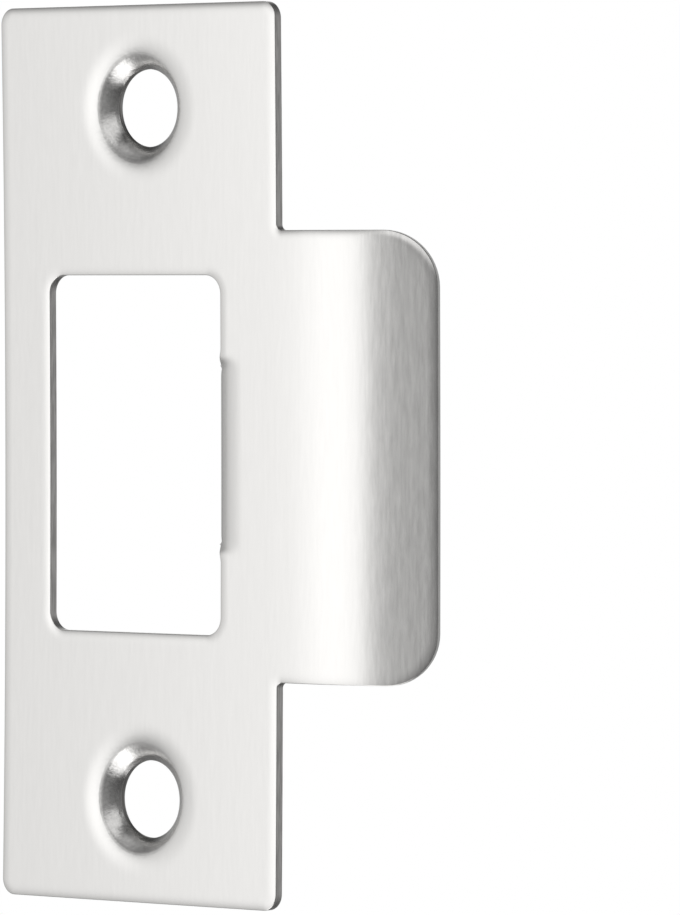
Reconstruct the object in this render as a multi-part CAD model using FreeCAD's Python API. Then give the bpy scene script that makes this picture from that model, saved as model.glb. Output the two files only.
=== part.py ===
import FreeCAD, Part
import math
import os

# Door strike plate with a curved lip, pressed from one piece of stainless sheet.
# Millimetres. +Z runs up the door frame, -Y is the face towards the door opening and
# +X is the side of the lip. The origin is midway between the two screw holes, on the
# back face that beds on the frame, so the sheet lies between y = -sheet_thickness and 0.

# sheet and face plate
sheet_thickness = 0.8
plate_height = 70.0
plate_width = 28.575
plate_corner_radius = 1.3

# screw holes, on the plate's centreline, each in a pressed countersink
hole_spacing = 53.975
screw_hole_diameter = 6.06
countersink_diameter = 8.24
countersink_angle = 90.0
land_length = 0.37
dish_diameter = 11.0
dish_depth = 0.28
boss_rim_width = 0.5
boss_rim_radius = 0.15
boss_root_radius = 1.2

# latch hole
latch_hole_width = 17.77
latch_hole_height = 27.9
latch_hole_margin = 4.95
latch_hole_corner_radius = 1.45

# tang, bent back from the lip side of the latch hole
tang_height = 13.9
tang_bend_radius = 3.2
tang_bend_angle = 80.0
tang_end_run = 2.3
tang_corner_radius = 1.2
tang_draw_in = 2.02
tang_root_radius = 1.5
tang_blend_length = 1.35

# lip
lip_height = 34.8
lip_root_run = 2.64
lip_root_radius = 0.45
lip_bend_radius = 18.0
lip_bend_angle = 24.0
lip_end_run = 3.52
lip_corner_radius = 4.2

# edges rolled over by the punch on the face side
edge_rounding = 0.15

# places that follow from the sizes above
half_width = plate_width / 2
half_lip = lip_height / 2
front_y = -sheet_thickness
bend_start_x = half_width + lip_root_run
latch_left_x = -half_width + latch_hole_margin
latch_right_x = latch_left_x + latch_hole_width
tang_start_x = latch_right_x + tang_draw_in
tang_blend_top = tang_height / 2 + tang_blend_length
hole_heights = (-hole_spacing / 2, hole_spacing / 2)
land_radius = screw_hole_diameter / 2
knee_radius = countersink_diameter / 2
cone_slope = math.tan(math.radians(countersink_angle / 2))
cone_depth = (knee_radius - land_radius) / cone_slope
rim_y = front_y + dish_depth + cone_depth + land_length
clear_of_sheet = 5 * sheet_thickness


def point(x, y, z=0.0):
    return FreeCAD.Vector(x, y, z)


def arc(first, middle, last):
    return Part.Arc(first, middle, last).toShape()


def line(first, last):
    return Part.LineSegment(first, last).toShape()


def rounded_outline(corners, place):
    """Closed wire through (a, b, radius) corners, each rounded by a tangent arc; place(a, b) gives the 3-D point."""
    edges = []
    ends = []
    count = len(corners)
    for i in range(count):
        before, (a, b, radius), after = corners[i - 1], corners[i], corners[(i + 1) % count]
        to_before = math.atan2(before[1] - b, before[0] - a)
        to_after = math.atan2(after[1] - b, after[0] - a)
        turn = abs((to_after - to_before + math.pi) % (2 * math.pi) - math.pi)
        if radius <= 0:
            ends.append((place(a, b), place(a, b)))
            continue
        run = radius / math.tan(turn / 2)
        first = place(a + run * math.cos(to_before), b + run * math.sin(to_before))
        last = place(a + run * math.cos(to_after), b + run * math.sin(to_after))
        middle_way = math.atan2(math.sin(to_before) + math.sin(to_after),
                                math.cos(to_before) + math.cos(to_after))
        inset = radius / math.sin(turn / 2) - radius
        middle = place(a + inset * math.cos(middle_way), b + inset * math.sin(middle_way))
        edges.append(arc(first, middle, last))
        ends.append((first, last))
    for i in range(count):
        start, end = ends[i][1], ends[(i + 1) % count][0]
        if start.distanceToPoint(end) > 1e-7:
            edges.append(line(start, end))
    return Part.Wire(Part.__sortEdges__(edges))


def on_back_face(x, z):
    return point(x, 0.0, z)


def sheet_blank():
    """Flat sheet of the face plate and the straight root of the lip, with rounded corners and notches."""
    half_height = plate_height / 2
    corners = [
        (-half_width, -half_height, plate_corner_radius),
        (half_width, -half_height, plate_corner_radius),
        (half_width, -half_lip, lip_root_radius),
        (bend_start_x, -half_lip, 0),
        (bend_start_x, half_lip, 0),
        (half_width, half_lip, lip_root_radius),
        (half_width, half_height, plate_corner_radius),
        (-half_width, half_height, plate_corner_radius),
    ]
    face = Part.Face(rounded_outline(corners, on_back_face))
    return face.extrude(point(0, front_y))


def bend_section(start_x, side, inner_radius, angle, run, z):
    """Section of sheet bent back from start_x towards side (1 or -1), then straight for run."""
    outer_radius = inner_radius + sheet_thickness
    full = math.radians(angle)

    def at(radius, part):
        return point(start_x + side * radius * math.sin(part), inner_radius - radius * math.cos(part), z)

    ahead = point(side * run * math.cos(full), run * math.sin(full))
    inner_end = at(inner_radius, full)
    outer_end = at(outer_radius, full)
    edges = [
        arc(at(outer_radius, 0), at(outer_radius, full / 2), outer_end),
        line(outer_end, outer_end + ahead),
        line(outer_end + ahead, inner_end + ahead),
        line(inner_end + ahead, inner_end),
        arc(inner_end, at(inner_radius, full / 2), at(inner_radius, 0)),
        line(at(inner_radius, 0), at(outer_radius, 0)),
    ]
    return Part.Face(Part.Wire(edges)), inner_end + ahead


def corner_trim(end, side, angle, radius, half_height):
    """Block that rounds the two free corners of a bent tab, square to its straight end."""
    reach = clear_of_sheet
    block = Part.makeBox(radius + reach, 2 * reach, 2 * (half_height + reach))
    block.translate(point(-radius, -reach, -half_height - reach))
    keep = Part.makeBox(radius, 2 * reach, 2 * (half_height - radius))
    keep.translate(point(-radius, -reach, -half_height + radius))
    trim = block.cut(keep)
    for height in (-half_height + radius, half_height - radius):
        rod = Part.makeCylinder(radius, 2 * reach, point(-radius, -reach, height), point(0, 1))
        trim = trim.cut(rod)
    beyond = Part.makeBox(reach, 2 * reach, 2 * (half_height - radius))
    beyond.translate(point(0, -reach, -half_height + radius))
    trim = trim.cut(beyond)
    if side < 0:
        trim = trim.mirror(point(0, 0), point(1, 0))
    trim.rotate(point(0, 0), point(0, 0, 1), side * angle)
    trim.translate(point(end.x, end.y))
    return trim


def lip():
    """Curved lip that leads the latch bolt in: a long bend, then a straight end with round corners."""
    section, end = bend_section(bend_start_x, 1, lip_bend_radius, lip_bend_angle, lip_end_run, -half_lip)
    bent = section.extrude(point(0, 0, lip_height))
    return bent.cut(corner_trim(end, 1, lip_bend_angle, lip_corner_radius, half_lip))


def latch_hole():
    """Cutter for the rectangular latch hole."""
    radius = latch_hole_corner_radius
    half_hole = latch_hole_height / 2
    corners = [
        (latch_left_x, -half_hole, radius),
        (latch_right_x, -half_hole, radius),
        (latch_right_x, half_hole, radius),
        (latch_left_x, half_hole, radius),
    ]
    face = Part.Face(rounded_outline(corners, on_back_face))
    cutter = face.extrude(point(0, -2 * clear_of_sheet))
    cutter.translate(point(0, clear_of_sheet))
    return cutter


def face_edges(shape):
    """Sharp edges of the face side: an edge there whose two faces meet at a clear angle."""
    found = []
    for edge in shape.Edges:
        sides = shape.ancestorsOfType(edge, Part.Face)
        if len(sides) != 2:
            continue
        middle = edge.valueAt((edge.FirstParameter + edge.LastParameter) / 2)
        normals = [side.normalAt(*side.Surface.parameter(middle)) for side in sides]
        to_face = min(normals[0].y, normals[1].y)
        if abs(normals[0].dot(normals[1])) < 0.5 and to_face < -0.5:
            found.append(edge)
    return found


def countersink():
    """Cutter for the face side of one screw hole: shallow pressed dish, cone and short land."""
    knee_y = front_y + dish_depth
    land_y = knee_y + cone_depth
    dish_run = dish_diameter / 2 - knee_radius
    sweep = 2 * math.atan(dish_depth / dish_run)
    dish_radius = dish_run / math.sin(sweep)
    middle = point(dish_diameter / 2 - dish_radius * math.sin(sweep / 2),
                   front_y + dish_radius * (1 - math.cos(sweep / 2)))
    above = front_y - clear_of_sheet
    below = rim_y + clear_of_sheet
    outline = [
        line(point(0, above), point(dish_diameter / 2, above)),
        line(point(dish_diameter / 2, above), point(dish_diameter / 2, front_y)),
        arc(point(dish_diameter / 2, front_y), middle, point(knee_radius, knee_y)),
        line(point(knee_radius, knee_y), point(land_radius, land_y)),
        line(point(land_radius, land_y), point(land_radius, below)),
        line(point(land_radius, below), point(0, below)),
        line(point(0, below), point(0, above)),
    ]
    return Part.Face(Part.Wire(outline)).revolve(point(0, 0), point(0, 1), 360)


def boss():
    """Sheet pushed out behind one screw hole by the countersink press."""
    rim_radius = land_radius + boss_rim_width
    root_radius = rim_radius + rim_y * cone_slope
    corners = [
        (0, rim_y, 0),
        (rim_radius, rim_y, boss_rim_radius),
        (root_radius, 0, boss_root_radius),
        (root_radius + 2 * boss_root_radius, 0, 0),
        (root_radius + 2 * boss_root_radius, front_y / 2, 0),
        (0, front_y / 2, 0),
    ]
    face = Part.Face(rounded_outline(corners, lambda x, y: point(x, y)))
    return face.revolve(point(0, 0), point(0, 1), 360)


def at_screw_holes(tool):
    copies = []
    for height in hole_heights:
        copy = tool.copy()
        copy.translate(point(0, 0, height))
        copies.append(copy)
    return copies


def blend_section(turned, side):
    """Section through the rounded root corner beside the tang, where the plate's margin is drawn into the bend.

    turned runs from 0 at the tang's side edge to a quarter turn where the root corner meets the latch hole's edge.
    """
    away = tang_blend_length * (1 - math.cos(turned))
    z = side * (tang_height / 2 + away)
    width = tang_draw_in + tang_root_radius * (1 - math.sin(turned))
    reach = away / tang_blend_length
    share = 1 - reach * reach * (3 - 2 * reach)
    flat = share < 1e-6
    outer = tang_bend_radius + sheet_thickness
    if not flat:
        outer = (outer - sheet_thickness / 2) / share + sheet_thickness / 2

    def at(depth, along):
        if flat:
            return point(tang_start_x - along, front_y + depth, z)
        turn = along / outer
        centre_y = front_y + outer
        return point(tang_start_x - (outer - depth) * math.sin(turn), centre_y - (outer - depth) * math.cos(turn), z)

    def curve(depth, first, last):
        if flat:
            return line(at(depth, first), at(depth, last))
        return arc(at(depth, first), at(depth, (first + last) / 2), at(depth, last))

    corner = edge_rounding * (1 - math.sqrt(0.5))
    edges = [
        curve(0, 0, width - edge_rounding),
        arc(at(0, width - edge_rounding), at(corner, width - corner), at(edge_rounding, width)),
        line(at(edge_rounding, width), at(sheet_thickness, width)),
        curve(sheet_thickness, width, 0),
        line(at(sheet_thickness, 0), at(0, 0)),
    ]
    return Part.Wire(edges)


def tang():
    """Tang bent back beside the latch hole, with the drawn root corners that blend it into the plate."""
    half_tang = tang_height / 2
    section, end = bend_section(tang_start_x, -1, tang_bend_radius, tang_bend_angle, tang_end_run, -half_tang)
    solid = section.extrude(point(0, 0, tang_height))
    solid = solid.cut(corner_trim(end, -1, tang_bend_angle, tang_corner_radius, half_tang))
    steps = 6
    for side in (-1, 1):
        wires = [blend_section(math.pi / 2 * i / steps, side) for i in range(steps + 1)]
        solid = solid.fuse(Part.makeLoft(wires, True, True))
    return solid


def tang_room():
    """Cutter that clears the flat margin where the tang and its blends take its place."""
    room = Part.makeBox(2 * tang_draw_in, 2 * clear_of_sheet, 2 * tang_blend_top)
    room.translate(point(tang_start_x - 2 * tang_draw_in, -clear_of_sheet, -tang_blend_top))
    return room


def strike_plate():
    plate = sheet_blank().fuse(lip()).removeSplitter()
    plate = plate.cut(latch_hole())
    plate = plate.makeFillet(edge_rounding, face_edges(plate))
    plate = plate.cut(tang_room()).fuse(tang())
    plate = plate.fuse(at_screw_holes(boss())).cut(at_screw_holes(countersink()))
    return plate.removeSplitter()


os.makedirs("parts", exist_ok=True)
shape = strike_plate()
if shape.ShapeType == "Compound" and len(shape.Solids) == 1:
    shape = shape.Solids[0]
shape.exportStep("parts/strike_plate.step")
print("solids", len(shape.Solids), "valid", shape.isValid(), "volume", round(shape.Volume, 2))
print("box", shape.BoundBox)
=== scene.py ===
import math

import bpy
import numpy as np
from mathutils import Matrix, Vector
from mathutils.geometry import delaunay_2d_cdt


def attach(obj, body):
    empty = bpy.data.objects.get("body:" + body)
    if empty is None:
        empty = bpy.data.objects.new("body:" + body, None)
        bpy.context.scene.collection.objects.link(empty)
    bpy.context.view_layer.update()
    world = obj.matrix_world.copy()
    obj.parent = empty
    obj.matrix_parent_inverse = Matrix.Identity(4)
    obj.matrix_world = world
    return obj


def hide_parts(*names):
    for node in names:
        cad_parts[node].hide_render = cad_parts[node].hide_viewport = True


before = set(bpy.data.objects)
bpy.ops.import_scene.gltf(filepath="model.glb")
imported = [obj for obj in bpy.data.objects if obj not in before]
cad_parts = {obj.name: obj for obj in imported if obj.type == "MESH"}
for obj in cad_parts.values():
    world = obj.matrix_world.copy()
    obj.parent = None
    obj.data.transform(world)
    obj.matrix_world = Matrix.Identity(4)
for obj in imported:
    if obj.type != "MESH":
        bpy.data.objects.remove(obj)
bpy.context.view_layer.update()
scene = bpy.context.scene
MM = 0.001

# the plate's sizes in millimetres: y is 0 on the flat back and -thickness on the face
thickness = 0.8
half_height = 70.0 / 2
half_width = 28.575 / 2
left_edge = -half_width - 0.07
plate_corner = 1.3
latch_left = -half_width + 4.95
latch_right = latch_left + 17.77
latch_half_height = 27.9 / 2
latch_corner = 1.45

# screw dimples, the upper one first: a hole lies its offset across from the middle line, and its
# knee lies (across, up) from that. The cone steepens where cone_bend of its width is left
screw_heights = (53.975 / 2, -53.975 / 2)
screw_offsets = (0.09, 0.13)
knee_offsets = ((0.04, 0), (0.11, 0.07))
knee_radii = (8.24 / 2, 8.40 / 2)
knee_cut = 0.13
land_radius = 6.06 / 2
land_length = 0.37
cone_bend = 0.42
dish_depth = 0.32
dish_width = 2.15
boss_rim_width = 0.5
dimple_reach = knee_radii[1] + dish_width + 0.25

tang_half_height = 13.9 / 2
tang_draw_in = 2.02
tang_start = latch_right + tang_draw_in
tang_round = 3.2 + thickness
tang_turn = math.radians(80)
tang_end = tang_start - tang_round * tang_turn - 2.2
tang_corner = 1.2
root_corner = (1.36, 1.27)
tang_fade_inside = 0.33
tang_fade_outside = 1.24

lip_half_height = 34.8 / 2
lip_start = half_width + 2.64
lip_notch = 0.45
lip_round = 18.0 + thickness
lip_turn = math.radians(24)
lip_bend_length = lip_round * lip_turn
lip_end = lip_start + lip_bend_length + 3.44
lip_corners = (4.0, 4.4)

# lengths over which a bend's curvature comes and goes, and a line length past the tang's end
lip_eases = (4.8, 4.4)
tang_eases = (1.1, 0.6)
tang_reach = 12.0

# the punch draws the face side down along every edge and leaves small round corners on the wall
edge_strip = 1.12
roll_width = 1.02
roll_depth = 0.12
latch_roll_depth = 0.115
roll_lean = 0.42
roll_rise = 0.25
lip_roll_less = 0.3
wall_inset = 0.07
face_cut = 0.055
back_cut = 0.04

# the plate isn't quite flat: the middle of its height lies a little further back
bow_left = 0.40
bow_right = 0.22
bow_rest = 0.12
crown = 0.07

# light panels round the plate, their levels by direction: azimuth 0 is in front of the face and
# positive to the lip side. One row of levels goes round, and the other scales it up and down
panel_azimuths = (
    -180, -139, -120, -104, -88, -70, -58, -50, -46, -43, -40, -37, -33, -26, -12, -3, 0, 3, 10,
    20, 36, 55, 90, 110, 139, 180)
panel_levels = (
    0.3, 0.8, 0.3, 0.47, 0.6, 0.78, 0.84, 0.87, 0.885, 0.95, 1.06, 1.2, 1.3, 1.35, 1.37, 1.37,
    0.62, 0.53, 0.47, 0.36, 0.31, 0.19, 0.15, 0.4, 0.8, 0.3)
panel_elevations = (-90, -60, -48, -38, -28, -18, -12, -7, 0, 7, 12, 18, 28, 38, 48, 60, 90)
panel_scales = (
    0.5, 0.42, 0.4, 0.44, 0.6, 0.82, 0.92, 0.965, 1, 0.97, 0.92, 0.78, 0.47, 0.22, 0.24, 0.26, 0.28)
# the row of scales is raised on the left and lowered on the right: (azimuths, heights)
panel_middle = ((-40, -30), (2, -1.5))
# a round panel below: (off, full) are angles from its middle
low_panel_at = (4, -66)
low_panel_spread = (33, 15)
low_panel_level = 1.45
# a four-sided panel above on the lip side: (off, full) at each side
high_panel_azimuths = ((-5, 8), (76, 58))
high_panel_elevations = ((8, 27), (64, 46))
high_panel_level = 0.95

# the photograph's height in pixels, and a camera's sensor width in millimetres
frame_height = 915
sensor_width = 36


def bent_line(start, radius, turn, before, after, reach):
    """A bend's face line in section: arrays of run, way ahead, way back and turn.

    Run is measured on the blank, from 0 to reach. The curvature rises evenly from none to one over
    the radius, holds, and falls evenly to none again; each slope is centred on an end of the plain
    arc. Its running sum is the turn, and those of the turn's cosine and sine are the ways.
    """
    run = np.linspace(0, reach, 3001)
    rise = np.clip((run - start) / before + 0.5, 0, 1)
    fall = np.clip((start + radius * turn - run) / after + 0.5, 0, 1)
    angle = np.cumsum(rise * fall)
    angle *= turn / angle[-1]
    ahead = np.append(0, np.cumsum(np.cos(angle[:-1]))) * run[1]
    back = np.append(0, np.cumsum(np.sin(angle[:-1]))) * run[1]
    return run, ahead, back, angle


LIP_LINE = bent_line(
    lip_start - half_width, lip_round, lip_turn, *lip_eases, lip_end - half_width)
TANG_LINE = bent_line(tang_eases[0] / 2, tang_round, tang_turn, *tang_eases, tang_reach)


def place(blank):
    """Where the pressed sheet carries points of the blank, in metres.

    Blank rows are (across, up, depth under the face). On the lip a point goes to its place on the
    lip's face line, and then by its depth along the line's normal. The tang does the same on a line
    that runs left from its start. Over the height of its root corners its share of the bend falls
    smoothly from one to none, and its line is stretched by one over that share, until it is flat.
    Last, the bow moves a point back by a parabola of its height, and the crown by a parabola of its
    distance from the middle of the width, which goes straight on past the plate's edges.
    """
    across, up, depth = blank[..., 0], blank[..., 1], blank[..., 2]
    x, y = across, depth - thickness
    run, ahead, back, turn = LIP_LINE
    along, margin = across - half_width, 0.5
    turn = np.interp(along, run, turn)
    lip_x = half_width + np.interp(along, run, ahead) - depth * np.sin(turn)
    lip_y = np.interp(along, run, back) + depth * np.cos(turn) - thickness
    on_lip = (across > half_width) & (lip_half_height + margin > np.abs(up))

    fade_height, least_share = tang_fade_inside + tang_fade_outside, 1e-4
    fade = np.clip((np.abs(up) - tang_half_height + tang_fade_inside) / fade_height, 0, 1)
    wide = 1 / np.maximum(1 - fade * fade * (3 - 2 * fade), least_share)
    run, ahead, back, turn = TANG_LINE
    first = tang_start + tang_eases[0] / 2
    along = np.maximum(first - across, 0) / wide
    turn = np.interp(along, run, turn)
    tang_x = first - np.interp(along, run, ahead) * wide + depth * np.sin(turn)
    tang_y = np.interp(along, run, back) * wide + depth * np.cos(turn) - thickness
    on_tang = (across < first) & (across > tang_end - edge_strip) & (fade < 1)

    x, y = np.where(on_lip, lip_x, x), np.where(on_lip, lip_y, y)
    x, y = np.where(on_tang, tang_x, x), np.where(on_tang, tang_y, y)
    side = np.clip((x + half_width) / (2 * half_width), 0, 1)
    bow = (bow_left + (bow_right - bow_left) * side) * (1 - (up / half_height) ** 2) - bow_rest
    out = np.abs(x) / half_width
    fall = crown * np.where(out < 1, out * out, 2 * out - 1)
    return np.stack((x, y + bow + fall, up), -1) * MM


def rounded(corners, step, closed):
    """Points and unit headings along the line through (a, b, cut) corners.

    A corner is a quarter turn of a circle, skewed to run from cut before it to cut after it; a
    fourth number is the cut after it where that differs. Straights have points at most step apart.
    """
    at = np.array([corner[:2] for corner in corners], float)
    legs = np.roll(at, -1, 0) - at
    legs /= np.linalg.norm(legs, axis=1)[:, None]
    points, headings = [], []
    for i, corner in enumerate(corners):
        into, out = legs[i - 1], legs[i]
        if closed or 0 < i < len(corners) - 1:
            turn = math.acos(min(1, max(-1, into @ out)))
            steps = max(4, math.ceil(turn / math.radians(6)),
                        math.ceil(turn * corner[2] / step))
            angle = np.linspace(0, math.pi / 2, steps + 1)[:, None]
            before, after = into * corner[2], out * corner[-1]
            points.append(at[i] - before + before * np.sin(angle) + after * (1 - np.cos(angle)))
            headings.append(before * np.cos(angle) + after * np.sin(angle))
        else:
            points.append(at[i][None])
            headings.append((out if i == 0 else into)[None])
    last = len(corners) if closed else len(corners) - 1
    for i in reversed(range(last)):
        first = points[i][-1]
        gap = points[(i + 1) % len(corners)][0] - first
        share = np.linspace(0, 1, max(1, math.ceil(np.hypot(*gap) / step)) + 1)[1:-1, None]
        points[i] = np.concatenate((points[i], first + gap * share))
        headings[i] = np.concatenate((headings[i], np.ones_like(share) * gap))
    headings = np.concatenate(headings)
    return np.concatenate(points), headings / np.linalg.norm(headings, axis=1)[:, None]


def circle(radius, across, height, count):
    """Points and headings round a circle, clockwise seen from the face: the sheet on the left."""
    angle = np.linspace(0, -2 * math.pi, count, endpoint=False)
    ring = np.stack((np.cos(angle), np.sin(angle)), -1)
    return ring * radius + (across, height), np.stack((ring[:, 1], -ring[:, 0]), -1)


def edge_section():
    """Section of a sheared edge before its roll: face, upright wall and back, as (inset, depth)."""
    inset = np.append(edge_strip, np.linspace(roll_width, wall_inset, 14))[:-1]
    flat = np.stack((inset, np.zeros_like(inset)), -1)
    wall, headings = rounded([
        (wall_inset, 0), (0, 0, face_cut), (0, thickness, back_cut), (edge_strip, thickness)],
        0.25, False)
    flat_headings = np.zeros_like(flat) + (-1, 0)
    return np.concatenate((flat, wall)), np.concatenate((flat_headings, headings))


def roll(swept, section, path, depth_at_top):
    """Draws the face side down along a sheared edge, and turns its section's directions with it.

    The drop is an amount, times the third power of the way from the roll's start to the edge, times
    what is left of the thickness under the point. The amount is larger where the edge faces left or
    up and along the lip's end, and smaller where it faces right or down and along the lip's sides.
    """
    blank, _, across = swept
    points, headings = path
    lean = np.where(points[:, 0] > half_width + 1, np.abs(headings[:, 1]), -headings[:, 1])
    on_lip = np.clip((points[:, 0] - half_width) / 3, 0, 1)
    amount = depth_at_top * (1 + roll_lean * lean - roll_rise * headings[:, 0]
                             - lip_roll_less * on_lip * (1 - np.abs(lean)))[:, None]
    (inset, depth), (inset_way, depth_way) = section[0].T, section[1].T
    way, left = np.clip(1 - inset / roll_width, 0, 1), 1 - depth / thickness
    slope = -3 * way ** 2 / roll_width * inset_way * left - way ** 3 * depth_way / thickness
    blank[..., 2] += amount * (way ** 3 * left)
    across[..., 2] += amount * slope
    return swept


def dimple(across, height, knee_radius, offset):
    """A swept screw hole, its knee and dish moved by offset; the cone takes it up evenly."""
    section = dimple_section(knee_radius)
    swept = sweep(circle(land_radius, across, height, 120), section)
    inset, inset_way = section[0][:, 0], section[1][:, 0]
    cone = knee_radius - land_radius
    swept[0][..., :2] += np.array(offset) * np.minimum(inset / cone, 1)[:, None]
    on_cone = np.where(inset < cone, inset_way, 0)[:, None]
    swept[2][..., :2] += np.array(offset) / cone * on_cone
    return swept


def dimple_section(knee_radius):
    """Section of a pressed countersink as (distance outside the land, depth).

    It runs down the dish and the cone, which steepens at a share of its width, then along the land,
    round the rim and up the boss. The dish's depth is the third power of the way from its outer
    edge to the knee, and its last stretch, the lead, runs straight into the knee.
    """
    cone = knee_radius - land_radius
    rim = dish_depth + cone + land_length
    reach = dimple_reach - land_radius
    lead, clearance, step = 0.2, 0.03, 0.2
    cone_cut, land_cut, inner_cut, outer_cut, boss_cut = 0.5, 0.08, 0.06, 0.1, 0.5
    way = np.linspace(0, 1, 25)[:-1]
    dish = np.stack((cone + dish_width * (1 - way), dish_depth * way ** 3), -1)
    ways = np.stack((np.full_like(way, -dish_width), 3 * dish_depth * way ** 2), -1)
    steep = 3 * dish_depth / dish_width
    wall, headings = rounded([
        (cone + lead, dish_depth - lead * steep), (cone, dish_depth, knee_cut),
        (cone_bend * cone, dish_depth + cone_bend * cone, cone_cut),
        (0, dish_depth + cone, land_cut), (0, rim, inner_cut), (boss_rim_width, rim, outer_cut),
        (boss_rim_width + rim - thickness, thickness, boss_cut), (reach, thickness)], step, False)
    outer = dish[:, 0] > cone + lead + clearance
    ways = ways[outer] / np.linalg.norm(ways[outer], axis=1)[:, None]
    return (np.concatenate((np.array([(reach, 0)]), dish[outer], wall)),
            np.concatenate((np.array([(-1.0, 0)]), ways, headings)))


def sweep(path, section):
    """Blank points of a section carried along a path, and the two directions that span it there.

    A point is the path's point plus the path's left-hand normal times the inset; its third number
    is the depth.
    """
    points, headings = path
    (insets, depths), (inset_way, depth_way) = section[0].T, section[1].T
    left = np.stack((-headings[:, 1], headings[:, 0]), -1)[:, None]
    shape = (len(points), len(insets))
    blank, along, across = (np.zeros((*shape, 3)) for _ in range(3))
    blank[..., :2] = points[:, None] + left * insets[:, None]
    blank[..., 2] = depths
    along[..., :2] = headings[:, None]
    across[..., :2] = left * inset_way[:, None]
    across[..., 2] = depth_way
    return blank, along, across


def inside(candidates, loops, margin):
    """Which candidates lie on the sheet, at least margin from every loop.

    The sheet is on the left of a loop's heading, so the nearest loop point tells the side.
    """
    points = np.concatenate([loop for loop, _ in loops])
    headings = np.concatenate([heading for _, heading in loops])
    gaps = candidates[:, None] - points
    distance = np.linalg.norm(gaps, axis=2)
    nearest = distance.argmin(1)
    rows = np.arange(len(candidates))
    gap, heading = gaps[rows, nearest], headings[nearest]
    on_left = heading[:, 0] * gap[:, 1] - heading[:, 1] * gap[:, 0] > 0
    return on_left & (distance[rows, nearest] > margin)


def lattice(left, right, low, high, across_step, up_step):
    """Evenly spaced points over a rectangle of the blank."""
    across = np.linspace(left, right, math.ceil((right - left) / across_step) + 1)
    up = np.linspace(low, high, math.ceil((high - low) / up_step) + 1)
    return np.stack(np.meshgrid(across, up, indexing="ij"), -1).reshape(-1, 2)


def outer_outline():
    """Outline of the plate and lip on the blank, counterclockwise seen from the face."""
    return rounded([
        (left_edge, -half_height, plate_corner), (half_width, -half_height, plate_corner),
        (half_width, -lip_half_height, lip_notch), (lip_end, -lip_half_height, lip_corners[0]),
        (lip_end, lip_half_height, lip_corners[1]), (half_width, lip_half_height, lip_notch),
        (half_width, half_height, plate_corner), (left_edge, half_height, plate_corner)],
        0.5, True)


def latch_outline():
    """Outline of the latch hole on the blank, clockwise, going in round the tang's blank."""
    return rounded([
        (latch_left, -latch_half_height, latch_corner),
        (latch_left, latch_half_height, latch_corner),
        (latch_right, latch_half_height, latch_corner),
        (latch_right, tang_half_height, *root_corner),
        (tang_end, tang_half_height, tang_corner), (tang_end, -tang_half_height, tang_corner),
        (latch_right, -tang_half_height, *root_corner[::-1]),
        (latch_right, -latch_half_height, latch_corner)], 0.3, True)


def loose_points(loops):
    """Points inside the flat field: close together where the sheet bends, wide apart elsewhere."""
    lip_field, lip_steps, past_bend = 16, (0.45, 1.6), 0.9
    tang_field, tang_steps, past_tang = 9.4, (0.22, 0.24), 0.6
    plate_steps, before_lip, gap, clearance = (2.2, 2.5), 1.5, 0.4, 0.12
    lip = lattice(lip_start - past_bend, lip_start + lip_bend_length + past_bend,
                  -lip_field, lip_field, *lip_steps)
    tang = lattice(tang_end, tang_start + past_tang, -tang_field, tang_field, *tang_steps)
    plate = lattice(-half_width, lip_start - before_lip, -half_height, half_height, *plate_steps)
    near_tang = ((plate[:, 0] > tang_end) & (plate[:, 0] < tang_start + past_tang + gap)
                 & (np.abs(plate[:, 1]) < tang_field + gap))
    points = np.concatenate((lip, tang, plate[~near_tang]))
    return points[inside(points, loops, clearance)]


def sheet_field(loops):
    """Loose points of the flat field, and its triangles over the loops' points and then these."""
    loose = loose_points(loops)
    ground = np.concatenate([points for points, _ in loops] + [loose])
    borders, first = [], 0
    for points, _ in loops:
        ring = first + np.arange(len(points))
        borders.append(np.stack((ring, np.roll(ring, -1)), -1))
        first += len(points)
    made = delaunay_2d_cdt(ground.tolist(), np.concatenate(borders).tolist(), [], 0, 1e-7)
    triangles = np.concatenate(made[3])[np.array(made[2])]
    return loose, triangles[inside(ground[triangles].mean(1), loops, 0)]


def land_numbers(dimples, first, count):
    """Two numbers for each of count blank points, of which the dimples' points start at first.

    from_land is the distance outside the land, and low adds to it the more, the higher round the
    hole the point lies, so that it stays small only at the land's lower side.
    """
    far_away, rise = 9.0, 0.8
    from_land, low = np.full((2, count), far_away)
    for (piece, _, _), *centre in zip(dimples, screw_offsets, screw_heights):
        points = piece.reshape(-1, 3) - (*centre, 0)
        radius = np.hypot(points[:, 0], points[:, 1])
        rows = slice(first, first + len(points))
        from_land[rows] = radius - land_radius
        low[rows] = from_land[rows] + rise * (1 + points[:, 1] / radius)
        first += len(points)
    return {"from_land": from_land, "low": low}


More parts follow.
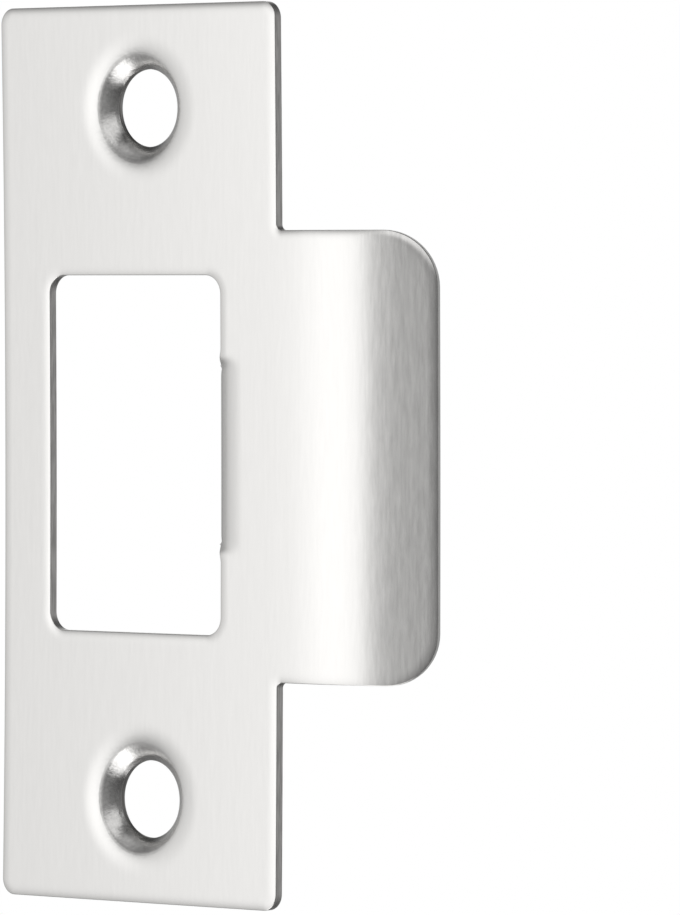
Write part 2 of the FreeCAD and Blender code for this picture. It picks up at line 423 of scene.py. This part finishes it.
def pressed_sheet():
    """Blank points, their numbers, normals and faces of the whole plate.

    Edge sections are swept round the outlines and dimple sections round the screw holes, and a
    triangulated field joins them on each side. A vertex's normal is the cross product of its two
    directions carried through place(). Its steepness is 0 along the face and 1 on upright walls.
    """
    edge = edge_section()
    swept = [roll(sweep(path, edge), edge, path, depth) for path, depth in (
        (outer_outline(), roll_depth), (latch_outline(), latch_roll_depth))]
    dimples = [dimple(*sizes) for sizes in
               zip(screw_offsets, screw_heights, knee_radii, knee_offsets)]
    dimples_start = sum(blank.size for blank, _, _ in swept) // 3
    swept += dimples
    quads, rims, loops, start = [], [], [], 0
    for blank, along, _ in swept:
        rows, columns = blank.shape[:2]
        index = start + np.arange(rows * columns).reshape(rows, columns)
        after = np.roll(index, -1, 0)
        corners = (index[:, :-1], index[:, 1:], after[:, 1:], after[:, :-1])
        quads.append(np.stack(corners, -1).reshape(-1, 4))
        rims.append(index[:, [0, -1]])
        loops.append((blank[:, 0, :2], along[:, 0, :2]))
        start += rows * columns
    loose, triangles = sheet_field(loops)

    spare = start + np.arange(len(loose))
    face_side, back_side = np.concatenate(rims).T
    face_side = np.concatenate((face_side, spare))
    back_side = np.concatenate((back_side, spare + len(loose)))
    field = np.column_stack((loose, np.zeros(len(loose))))
    east, north = np.zeros_like(field) + (1, 0, 0), np.zeros_like(field) + (0, 1, 0)
    parts = [[way.reshape(-1, 3) for way in piece] for piece in swept]
    parts += [[field, north, east], [field + (0, 0, thickness), east, north]]
    blank, along, across = (np.concatenate(way) for way in zip(*parts))
    steepness = np.abs(across[:, 2])
    steepness[len(blank) - 2 * len(loose):] = 0
    numbers = {"steepness": steepness, **land_numbers(dimples, dimples_start, len(blank))}
    reach = 1e-3
    normals = np.cross(place(blank + across * reach) - place(blank - across * reach),
                       place(blank + along * reach) - place(blank - along * reach))
    normals /= np.linalg.norm(normals, axis=1)[:, None]
    faces = [*np.concatenate(quads).tolist(), *face_side[triangles].tolist(),
             *back_side[triangles][:, ::-1].tolist()]
    return blank, numbers, normals, faces


def build(name, blank, numbers, normals, faces, material):
    """Mesh object of the pressed sheet, which keeps each point's place on the blank and numbers."""
    mesh = bpy.data.meshes.new(name)
    mesh.from_pydata(place(blank), [], faces)
    mesh.polygons.foreach_set("use_smooth", np.ones(len(mesh.polygons), bool))
    mesh.update()
    mesh.normals_split_custom_set_from_vertices(normals)
    kept = mesh.attributes.new("blank", "FLOAT_VECTOR", "POINT")
    kept.data.foreach_set("vector", blank.astype(np.float32).ravel())
    for label, values in numbers.items():
        kept = mesh.attributes.new(label, "FLOAT", "POINT")
        kept.data.foreach_set("value", values.astype(np.float32))
    mesh.materials.append(material)
    made = bpy.data.objects.new(name, mesh)
    scene.collection.objects.link(made)
    return made


class Wire:
    """A socket that Python arithmetic works on: each operation adds one Math node."""

    def __init__(self, finish, socket):
        self.finish, self.socket = finish, socket

    def math(self, operation, *values):
        return self.finish.node("ShaderNodeMath", {"operation": operation}, dict(enumerate(values)))

    def __add__(self, other):
        return self.math("ADD", self, other)

    def __sub__(self, other):
        return self.math("SUBTRACT", self, other)

    def __rsub__(self, other):
        return self.math("SUBTRACT", other, self)

    def __mul__(self, other):
        return self.math("MULTIPLY", self, other)

    __radd__, __rmul__ = __add__, __mul__

    def step(self, low, high):
        """0 below low, 1 above high, a smooth rise between; a larger low turns it round."""
        return self.finish.node("ShaderNodeMapRange", {"interpolation_type": "SMOOTHSTEP"},
                                {"Value": self, "From Min": low, "From Max": high})


class Finish:
    """Node tree of a material or world."""

    def __init__(self, owner):
        owner.use_nodes = True
        self.tree = owner.node_tree
        self.tree.nodes.clear()

    def node(self, kind, settings=None, values=None, output=0):
        """Adds a node with its settings and its sockets' values or links; returns one output."""
        made = self.tree.nodes.new(kind)
        for name, value in (settings or {}).items():
            setattr(made, name, value)
        for name, value in (values or {}).items():
            if isinstance(value, Wire):
                self.tree.links.new(value.socket, made.inputs[name])
            else:
                made.inputs[name].default_value = value
        return Wire(self, made.outputs[output])

    def number(self, name):
        """A number that the mesh keeps at its points."""
        return self.node("ShaderNodeAttribute", {"attribute_name": name}, output="Fac")

    def vector(self, operation, first, second):
        return self.node("ShaderNodeVectorMath", {"operation": operation}, {0: first, 1: second})

    def mix(self, factor, first, second):
        """The first colour at factor 0 and the second at 1."""
        return self.node("ShaderNodeMix", {"data_type": "RGBA"}, {
            "Factor": factor, "A": first, "B": second}, output="Result")

    def close(self, kind, surface):
        """Ends the tree in its output node."""
        self.tree.links.new(surface.socket, self.tree.nodes.new(kind).inputs["Surface"])


def brushed_stainless():
    """Fine upright brushing on bright steel, clear on the lip's end and faint on the plate.

    Brushing stops at the pressed dimples, whose cones are a darker steel, mottled where the press
    rubbed them, with painted shade at the land's lower side. Sheared walls are dull and rough, with
    short lines down the plate. All patterns lie on the blank, so they follow the bends.
    """
    material = bpy.data.materials.new("brushed_stainless")
    finish = Finish(material)
    blank = finish.node("ShaderNodeAttribute", {"attribute_name": "blank"}, output="Vector")
    from_land = finish.number("from_land")

    def noise(stretch, detail, roughness):
        return finish.node("ShaderNodeTexNoise", None, {
            "Vector": finish.vector("MULTIPLY", blank, stretch), "Scale": 1.0,
            "Detail": detail, "Roughness": roughness})

    streaks = noise((3.3, 0.42, 3.3), 3.0, 0.6)
    bands = noise((1.1, 0.05, 1.1), 2.0, 0.5)
    grain = noise((3.2, 3.2, 3.2), 2.0, 0.6)
    shear_lines = noise((0.5, 0.5, 7.0), 2.0, 0.6)

    sheared = finish.number("steepness").step(0.82, 0.96)
    drawn = from_land.step(2.4, 1.2)
    # the cone is a darker steel than the face
    darker_cone = from_land.step(1.25, 0.95)
    mottled = from_land.step(1.5, 0.9)
    # painted shade: the colour darkens at the land's lower side, inside the hole
    shaded = finish.number("low").step(0.75, 0.2)
    across = finish.node("ShaderNodeSeparateXYZ", None, {"Vector": blank}, "X")
    on_lip_end = across.step(21.0, 24.5)

    band_share, mean, faint, clearer, mottling, shade = 0.4, 0.7, 0.06, 0.42, 0.5, 0.5
    contrast = (on_lip_end * clearer + faint) * (1 - drawn)
    brushing = (streaks + bands * band_share - mean) * contrast
    level = brushing + (grain - 0.5) * mottled * mottling + (1 - shaded * shade)
    dull = finish.mix(shear_lines.step(0.3, 0.7), (0.21, 0.206, 0.2, 1), (0.42, 0.415, 0.406, 1))
    steel = finish.mix(darker_cone, (0.795, 0.786, 0.772, 1), (0.684, 0.676, 0.664, 1))
    bright = finish.node("ShaderNodeVectorMath", {"operation": "SCALE"}, {0: steel, "Scale": level})
    brushed_height, drawn_height = 0.1, 2.0
    height = ((streaks * 0.8 + bands * 0.3) * brushed_height * (1 - drawn)
              + grain * drawn * drawn_height)
    bump = finish.node("ShaderNodeBump", None, {
        "Height": height, "Strength": 0.35, "Distance": 0.00002}, output="Normal")
    polished, rougher = 0.23, 0.25
    shader = finish.node("ShaderNodeBsdfPrincipled", None, {
        "Base Color": finish.mix(sheared, bright, dull), "Metallic": 1.0,
        "Roughness": sheared * rougher + polished, "Normal": bump, "Anisotropic": 0.4})
    finish.close("ShaderNodeOutputMaterial", shader)
    return material


def look_from(yaw, pitch, roll, distance, across, upward, focal_pixels):
    """Camera turned yaw degrees to the lip side of the plate's normal, and pitch degrees down.

    It stands distance back from the origin, and across and upward in its own plane, all in mm.
    """
    data = bpy.data.cameras.new("camera")
    camera = bpy.data.objects.new("camera", data)
    scene.collection.objects.link(camera)
    yaw, pitch, roll = math.radians(yaw), math.radians(pitch), math.radians(roll)
    ahead = Vector((
        -math.sin(yaw) * math.cos(pitch), math.cos(yaw) * math.cos(pitch), -math.sin(pitch)))
    side = Vector((math.cos(yaw), math.sin(yaw), 0))
    above = side.cross(ahead)
    right = side * math.cos(roll) + above * math.sin(roll)
    up = above * math.cos(roll) - side * math.sin(roll)
    stand = (right * across + up * upward - ahead * distance) * MM
    turned = Matrix((right, up, -ahead)).transposed().to_4x4()
    camera.matrix_world = Matrix.Translation(stand) @ turned
    data.sensor_width = sensor_width
    data.lens = focal_pixels * sensor_width / frame_height
    data.clip_start, data.clip_end = 0.01, 20
    scene.camera = camera


def towards(azimuth, elevation):
    """Unit vectors to directions in degrees; azimuth 0 is in front of the face."""
    a, e = np.radians(azimuth), np.radians(elevation)
    return np.stack((np.sin(a) * np.cos(e), -np.cos(a) * np.cos(e), np.sin(e)), -1)


def soft_light(name, direction, distance, size, radiance):
    """Square lamp that faces the plate from a direction, in metres."""
    data = bpy.data.lights.new(name, "AREA")
    data.shape = "RECTANGLE"
    data.size = data.size_y = size
    data.energy = radiance * math.pi * size * size
    lamp = bpy.data.objects.new(name, data)
    back = Vector(towards(*direction))
    turned = back.to_track_quat("Z", "Y").to_matrix().to_4x4()
    lamp.matrix_world = Matrix.Translation(back * distance) @ turned
    lamp.visible_camera = False
    scene.collection.objects.link(lamp)


def grid_mesh(name, points, material):
    """Mesh object from a grid of points."""
    rows, columns = points.shape[:2]
    index = np.arange(rows * columns).reshape(rows, columns)
    corners = (index[:-1, :-1], index[1:, :-1], index[1:, 1:], index[:-1, 1:])
    quads = np.stack(corners, -1).reshape(-1, 4)
    mesh = bpy.data.meshes.new(name)
    mesh.from_pydata(points.reshape(-1, 3), [], quads.tolist())
    mesh.update()
    mesh.materials.append(material)
    made = bpy.data.objects.new(name, mesh)
    scene.collection.objects.link(made)
    return made


def fade_in(value, off, full):
    """Smooth step from 0 at off to 1 at full."""
    share = np.clip((value - off) / (full - off), 0, 1)
    return share * share * (3 - 2 * share)


def light_tent(radius):
    """Sphere of cloth round the plate, which only the metal sees, lit in panels by direction."""
    azimuth, elevation = np.meshgrid(
        np.linspace(-180, 180, 361), np.linspace(-90, 90, 181), indexing="ij")
    points = towards(azimuth, elevation)
    above = elevation - np.interp(azimuth, *panel_middle)
    radiance = (np.interp(azimuth, panel_azimuths, panel_levels)
                * np.interp(above, panel_elevations, panel_scales))
    away = np.degrees(np.arccos(np.clip(points @ towards(*low_panel_at), -1, 1)))
    radiance += low_panel_level * fade_in(away, *low_panel_spread)
    high_panel = np.ones_like(radiance)
    for value, sides in ((azimuth, high_panel_azimuths), (elevation, high_panel_elevations)):
        for side in sides:
            high_panel *= fade_in(value, *side)
    radiance += (high_panel_level - radiance) * high_panel
    material = bpy.data.materials.new("tent_cloth")
    finish = Finish(material)
    finish.close("ShaderNodeOutputMaterial", finish.node("ShaderNodeEmission", None, {
        "Strength": finish.number("radiance")}))
    material.cycles.emission_sampling = "NONE"
    tent = grid_mesh("light_tent", points * radius, material)
    kept = tent.data.attributes.new("radiance", "FLOAT", "POINT")
    kept.data.foreach_set("value", radiance.astype(np.float32).ravel())
    tent.visible_camera = tent.visible_shadow = tent.visible_diffuse = False


def studio():
    """White world, dimmer as a light than it looks, and a pale floor that keeps a soft shadow."""
    world_light, floor_lift, floor_reach, floor_height = 0.6, 0.35, 4, -0.65
    world = bpy.data.worlds.new("studio")
    scene.world = world
    finish = Finish(world)
    finish.close("ShaderNodeOutputWorld", finish.node("ShaderNodeBackground", None, {
        "Color": (1, 1, 1, 1), "Strength": seen_rays(finish) * (1 - world_light) + world_light}))
    material = bpy.data.materials.new("pale_floor")
    finish = Finish(material)
    paint = finish.node("ShaderNodeBsdfDiffuse", None, {"Color": (0.9, 0.9, 0.9, 1)})
    lift = finish.node("ShaderNodeEmission", None, {"Strength": seen_rays(finish) * floor_lift})
    finish.close("ShaderNodeOutputMaterial",
                 finish.node("ShaderNodeAddShader", None, {0: paint, 1: lift}))
    side = np.linspace(-floor_reach, floor_reach, 3)
    across, along = np.meshgrid(side, side[::-1], indexing="ij")
    points = np.stack((across, along, np.full_like(across, floor_height)), -1)
    floor = grid_mesh("floor", points, material)


def seen_rays(finish):
    """1 for rays that show the background: the camera's, mirrored ones and those through glass."""
    rays = [finish.node("ShaderNodeLightPath", output=name) for name in
            ("Is Camera Ray", "Is Glossy Ray", "Is Transmission Ray")]
    return rays[0] + rays[1] + rays[2]


scene.view_settings.view_transform = "Standard"
look_from(yaw=40.268, pitch=1.2914, roll=-0.0537, distance=632.543, across=15.3639, upward=-0.2715,
          focal_pixels=8105.93)
studio()
light_tent(radius=0.5)
soft_light("overhead_lamp", (-60, 70), distance=0.9, size=0.5, radiance=2.0)

plate = build("strike_plate_sheet", *pressed_sheet(), brushed_stainless())
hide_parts("strike_plate")
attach(plate, "root")
